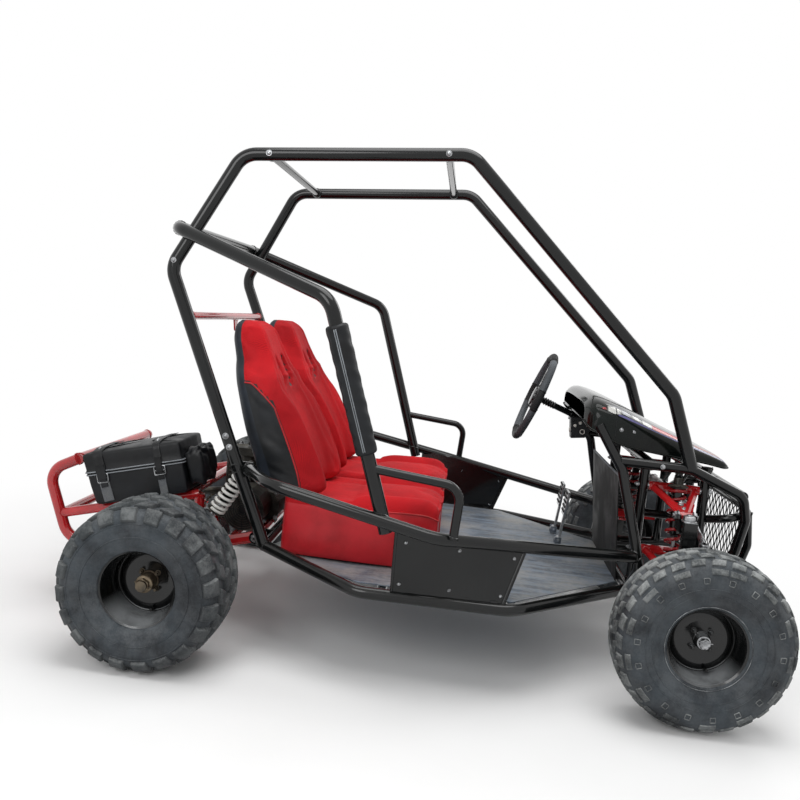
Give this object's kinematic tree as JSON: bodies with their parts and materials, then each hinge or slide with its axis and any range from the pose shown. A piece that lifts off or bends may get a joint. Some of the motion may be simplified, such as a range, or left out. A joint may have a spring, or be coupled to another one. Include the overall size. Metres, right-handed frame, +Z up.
{
  "type": "off road go kart",
  "caption": "Two-seat off-road buggy kart with a bent-tube cage, double-wishbone front, swing-arm rear, knobbly tyres, bucket seats and a rear cargo box.",
  "frame": {"origin": "on the ground under the middle of the kart's overall length and width", "axes": "+X forward, +Y to the driver's left, +Z up"},
  "size_m": [2.1962, 1.538, 1.4929],
  "materials": {
    "black_paint": "gloss black paint on steel tube",
    "dusty_steel": "worn blue-grey steel sheet, dusty",
    "red_paint": "gloss red paint on steel",
    "black_vinyl": "black vinyl cover over foam",
    "gloss_cowl": "gloss black-green moulded plastic",
    "black_plastic": "black plastic, satin",
    "pale_plastic": "off-white plastic",
    "red_seat": "red cover over foam with black vinyl bolsters",
    "zinc_steel": "zinc-plated steel",
    "tyre_rubber": "dusty black rubber, block tread",
    "white_spring": "white powder-coated spring wire",
    "cast_alloy": "cast alloy, dulled"
  },
  "bodies": {
    "frame": {"cage_side_right": "black_paint", "cage_side_left": "black_paint", "roof_bar_rear": "black_paint", "roof_bar_front": "black_paint", "shoulder_hoop": "black_paint", "shoulder_pad": "black_vinyl", "side_rail_right": "black_paint", "side_rail_left": "black_paint", "lower_frame": "black_paint", "front_frame": "black_paint", "mesh_guard": "black_paint", "seat_bar": "red_paint", "hood_cowl": "gloss_cowl", "switch_box": "black_plastic", "seat_back_right": "red_seat", "seat_base_right": "red_seat", "seat_back_left": "red_seat", "seat_base_left": "red_seat", "floor_pan": "dusty_steel"},
    "lower_wishbone_right": {"lower_wishbone_right": "red_paint"},
    "upper_wishbone_right": {"upper_wishbone_right": "red_paint"},
    "kingpin_carrier_right": {"kingpin_carrier_right": "red_paint"},
    "steering_knuckle_right": {"steering_knuckle_right": "black_paint"},
    "front_wheel_right": {"front_rim_right": "black_paint", "front_tyre_right": "tyre_rubber"},
    "tie_rod_right": {"tie_rod_right": "zinc_steel"},
    "front_damper_right": {"front_shock_right_damper": "zinc_steel", "front_shock_right_spring": "white_spring"},
    "front_shock_rod_right": {"front_shock_right_rod": "zinc_steel"},
    "rear_damper_right": {"rear_shock_right_damper": "zinc_steel", "rear_shock_right_spring": "white_spring"},
    "rear_shock_rod_right": {"rear_shock_right_rod": "zinc_steel"},
    "lower_wishbone_left": {"lower_wishbone_left": "red_paint"},
    "upper_wishbone_left": {"upper_wishbone_left": "red_paint"},
    "kingpin_carrier_left": {"kingpin_carrier_left": "red_paint"},
    "steering_knuckle_left": {"steering_knuckle_left": "black_paint"},
    "front_wheel_left": {"front_rim_left": "black_paint", "front_tyre_left": "tyre_rubber"},
    "tie_rod_left": {"tie_rod_left": "zinc_steel"},
    "front_damper_left": {"front_shock_left_damper": "zinc_steel", "front_shock_left_spring": "white_spring"},
    "front_shock_rod_left": {"front_shock_left_rod": "zinc_steel"},
    "rear_damper_left": {"rear_shock_left_damper": "zinc_steel", "rear_shock_left_spring": "white_spring"},
    "rear_shock_rod_left": {"rear_shock_left_rod": "zinc_steel"},
    "steering_wheel": {"steering_wheel": "black_plastic", "steering_column": "black_paint"},
    "steering_rack": {"steering_rack": "zinc_steel"},
    "swing_arm": {"swing_arm": "red_paint", "rear_rack": "red_paint", "engine": "cast_alloy", "drive_chain": "zinc_steel", "cargo_box": "black_plastic"},
    "rear_axle": {"rear_axle": "black_paint", "rear_tyre_right": "tyre_rubber", "rear_tyre_left": "tyre_rubber"},
    "cargo_lid": {"cargo_lid": "black_plastic"},
    "throttle_pedal": {"throttle_pedal": "zinc_steel"},
    "brake_pedal": {"brake_pedal": "zinc_steel"},
    "start_button": {"start_button": "pale_plastic"}
  },
  "joints": [
    {"name": "steering_turn", "type": "hinge", "parent": "frame", "child": "steering_wheel", "pos_m": [0.41298, 0.23, 0.77295], "axis": [-0.9426, 0, 0.3338], "range_deg": [-60, 60]},
    {"name": "rack_slide", "type": "slide", "parent": "frame", "child": "steering_rack", "axis": [0, 1, 0], "range_m": [-0.018, 0.018]},
    {"name": "wishbone_swing_right", "type": "hinge", "parent": "frame", "child": "lower_wishbone_right", "pos_m": [0.817, -0.255, 0.387], "axis": [-1, 0, 0], "range_deg": [-6, 8], "stiffness_Nm_per_rad": 1500, "springref_deg": -2.86},
    {"name": "upper_swing_right", "type": "hinge", "parent": "frame", "child": "upper_wishbone_right", "pos_m": [0.817, -0.255, 0.582], "axis": [-1, 0, 0], "range_deg": [-6.5, 8.5]},
    {"name": "carrier_pivot_right", "type": "hinge", "parent": "lower_wishbone_right", "child": "kingpin_carrier_right", "pos_m": [0.817, -0.425, 0.337], "axis": [-1, 0, 0], "range_deg": [-8.5, 6.5]},
    {"name": "kingpin_turn_right", "type": "hinge", "parent": "kingpin_carrier_right", "child": "steering_knuckle_right", "pos_m": [0.817, -0.47, 0.4345], "axis": [0, 0, 1], "range_deg": [-21, 21]},
    {"name": "front_wheel_spin_right", "type": "hinge", "parent": "steering_knuckle_right", "child": "front_wheel_right", "pos_m": [0.857, -0.593, 0.241], "axis": [0, 1, 0], "continuous": true},
    {"name": "tie_rod_pivot_right", "type": "hinge", "parent": "steering_rack", "child": "tie_rod_right", "pos_m": [0.867, -0.255, 0.528], "axis": [-1, 0, 0], "range_deg": [-5.24, 6.83]},
    {"name": "front_damper_tilt_right", "type": "hinge", "parent": "frame", "child": "front_damper_right", "pos_m": [0.817, -0.296, 0.642], "axis": [-1, 0, 0], "range_deg": [-1.35, 1.63]},
    {"name": "front_shock_stroke_right", "type": "slide", "parent": "front_damper_right", "child": "front_shock_rod_right", "axis": [0, 0.1715, 0.9852], "range_m": [-0.00986, 0.01281], "deforming": ["front_shock_right_spring"]},
    {"name": "wishbone_swing_left", "type": "hinge", "parent": "frame", "child": "lower_wishbone_left", "pos_m": [0.817, 0.255, 0.387], "axis": [1, 0, 0], "range_deg": [-6, 8], "stiffness_Nm_per_rad": 1500, "springref_deg": -2.86},
    {"name": "upper_swing_left", "type": "hinge", "parent": "frame", "child": "upper_wishbone_left", "pos_m": [0.817, 0.255, 0.582], "axis": [1, 0, 0], "range_deg": [-6.5, 8.5]},
    {"name": "carrier_pivot_left", "type": "hinge", "parent": "lower_wishbone_left", "child": "kingpin_carrier_left", "pos_m": [0.817, 0.425, 0.337], "axis": [1, 0, 0], "range_deg": [-8.5, 6.5]},
    {"name": "kingpin_turn_left", "type": "hinge", "parent": "kingpin_carrier_left", "child": "steering_knuckle_left", "pos_m": [0.817, 0.47, 0.4345], "axis": [0, 0, 1], "range_deg": [-21, 21]},
    {"name": "front_wheel_spin_left", "type": "hinge", "parent": "steering_knuckle_left", "child": "front_wheel_left", "pos_m": [0.857, 0.593, 0.241], "axis": [0, 1, 0], "continuous": true},
    {"name": "tie_rod_pivot_left", "type": "hinge", "parent": "steering_rack", "child": "tie_rod_left", "pos_m": [0.867, 0.255, 0.528], "axis": [1, 0, 0], "range_deg": [-5.24, 6.83]},
    {"name": "front_damper_tilt_left", "type": "hinge", "parent": "frame", "child": "front_damper_left", "pos_m": [0.817, 0.296, 0.642], "axis": [1, 0, 0], "range_deg": [-1.35, 1.63]},
    {"name": "front_shock_stroke_left", "type": "slide", "parent": "front_damper_left", "child": "front_shock_rod_left", "axis": [0, -0.1715, 0.9852], "range_m": [-0.00986, 0.01281], "deforming": ["front_shock_left_spring"]},
    {"name": "swing_arm_pivot", "type": "hinge", "parent": "frame", "child": "swing_arm", "pos_m": [-0.428, 0, 0.285], "axis": [0, 1, 0], "range_deg": [-4, 5], "stiffness_Nm_per_rad": 6000, "springref_deg": -2.86},
    {"name": "rear_axle_spin", "type": "hinge", "parent": "swing_arm", "child": "rear_axle", "pos_m": [-0.633, 0, 0.228], "axis": [0, 1, 0], "continuous": true},
    {"name": "rear_damper_tilt_right", "type": "hinge", "parent": "frame", "child": "rear_damper_right", "pos_m": [-0.448, -0.375, 0.52], "axis": [0, 1, 0], "range_deg": [-0.83, 0.91]},
    {"name": "rear_shock_stroke_right", "type": "slide", "parent": "rear_damper_right", "child": "rear_shock_rod_right", "axis": [0.5322, 0, 0.8466], "range_m": [-0.01092, 0.01339], "deforming": ["rear_shock_right_spring"]},
    {"name": "rear_damper_tilt_left", "type": "hinge", "parent": "frame", "child": "rear_damper_left", "pos_m": [-0.448, 0.375, 0.52], "axis": [0, 1, 0], "range_deg": [-0.83, 0.91]},
    {"name": "rear_shock_stroke_left", "type": "slide", "parent": "rear_damper_left", "child": "rear_shock_rod_left", "axis": [0.5322, 0, 0.8466], "range_m": [-0.01092, 0.01339], "deforming": ["rear_shock_left_spring"]},
    {"name": "lid_hinge", "type": "hinge", "parent": "swing_arm", "child": "cargo_lid", "pos_m": [-0.94787, -0.1177, 0.42879], "axis": [-0.9673, 0, -0.2538], "range_deg": [0, 95]},
    {"name": "throttle_pedal_press", "type": "hinge", "parent": "frame", "child": "throttle_pedal", "pos_m": [0.5441, 0.14, 0.2878], "axis": [0, 1, 0], "range_deg": [0, 20], "stiffness_Nm_per_rad": 3, "springref_deg": -14.32},
    {"name": "brake_pedal_press", "type": "hinge", "parent": "frame", "child": "brake_pedal", "pos_m": [0.5441, 0.3, 0.2878], "axis": [0, 1, 0], "range_deg": [0, 20], "stiffness_Nm_per_rad": 3, "springref_deg": -14.32},
    {"name": "start_button_press", "type": "slide", "parent": "frame", "child": "start_button", "axis": [0.9929, 0, 0.1188], "range_m": [0, 0.0035], "stiffness_N_per_m": 400, "springref_m": -0.002}
  ],
  "couplings": [
    {"joint": "rack_slide", "follows": "steering_turn", "m_per_rad": 0.016667},
    {"joint": "upper_swing_right", "follows": "wishbone_swing_right", "ratio": 1},
    {"joint": "carrier_pivot_right", "follows": "wishbone_swing_right", "ratio": -1},
    {"joint": "kingpin_turn_right", "follows": "steering_turn", "ratio": 0.33333},
    {"joint": "tie_rod_pivot_right", "follows": "wishbone_swing_right", "ratio": 0.7907},
    {"joint": "front_damper_tilt_right", "follows": "wishbone_swing_right", "ratio": 0.14092},
    {"joint": "front_shock_stroke_right", "follows": "wishbone_swing_right", "m_per_rad": 0.084604},
    {"joint": "upper_swing_left", "follows": "wishbone_swing_left", "ratio": 1},
    {"joint": "carrier_pivot_left", "follows": "wishbone_swing_left", "ratio": -1},
    {"joint": "kingpin_turn_left", "follows": "steering_turn", "ratio": 0.33333},
    {"joint": "tie_rod_pivot_left", "follows": "wishbone_swing_left", "ratio": 0.7907},
    {"joint": "front_damper_tilt_left", "follows": "wishbone_swing_left", "ratio": 0.14092},
    {"joint": "front_shock_stroke_left", "follows": "wishbone_swing_left", "m_per_rad": 0.084604},
    {"joint": "rear_damper_tilt_right", "follows": "swing_arm_pivot", "ratio": 0.082668},
    {"joint": "rear_shock_stroke_right", "follows": "swing_arm_pivot", "m_per_rad": 0.14202},
    {"joint": "rear_damper_tilt_left", "follows": "swing_arm_pivot", "ratio": 0.082668},
    {"joint": "rear_shock_stroke_left", "follows": "swing_arm_pivot", "m_per_rad": 0.14202}
  ]
}
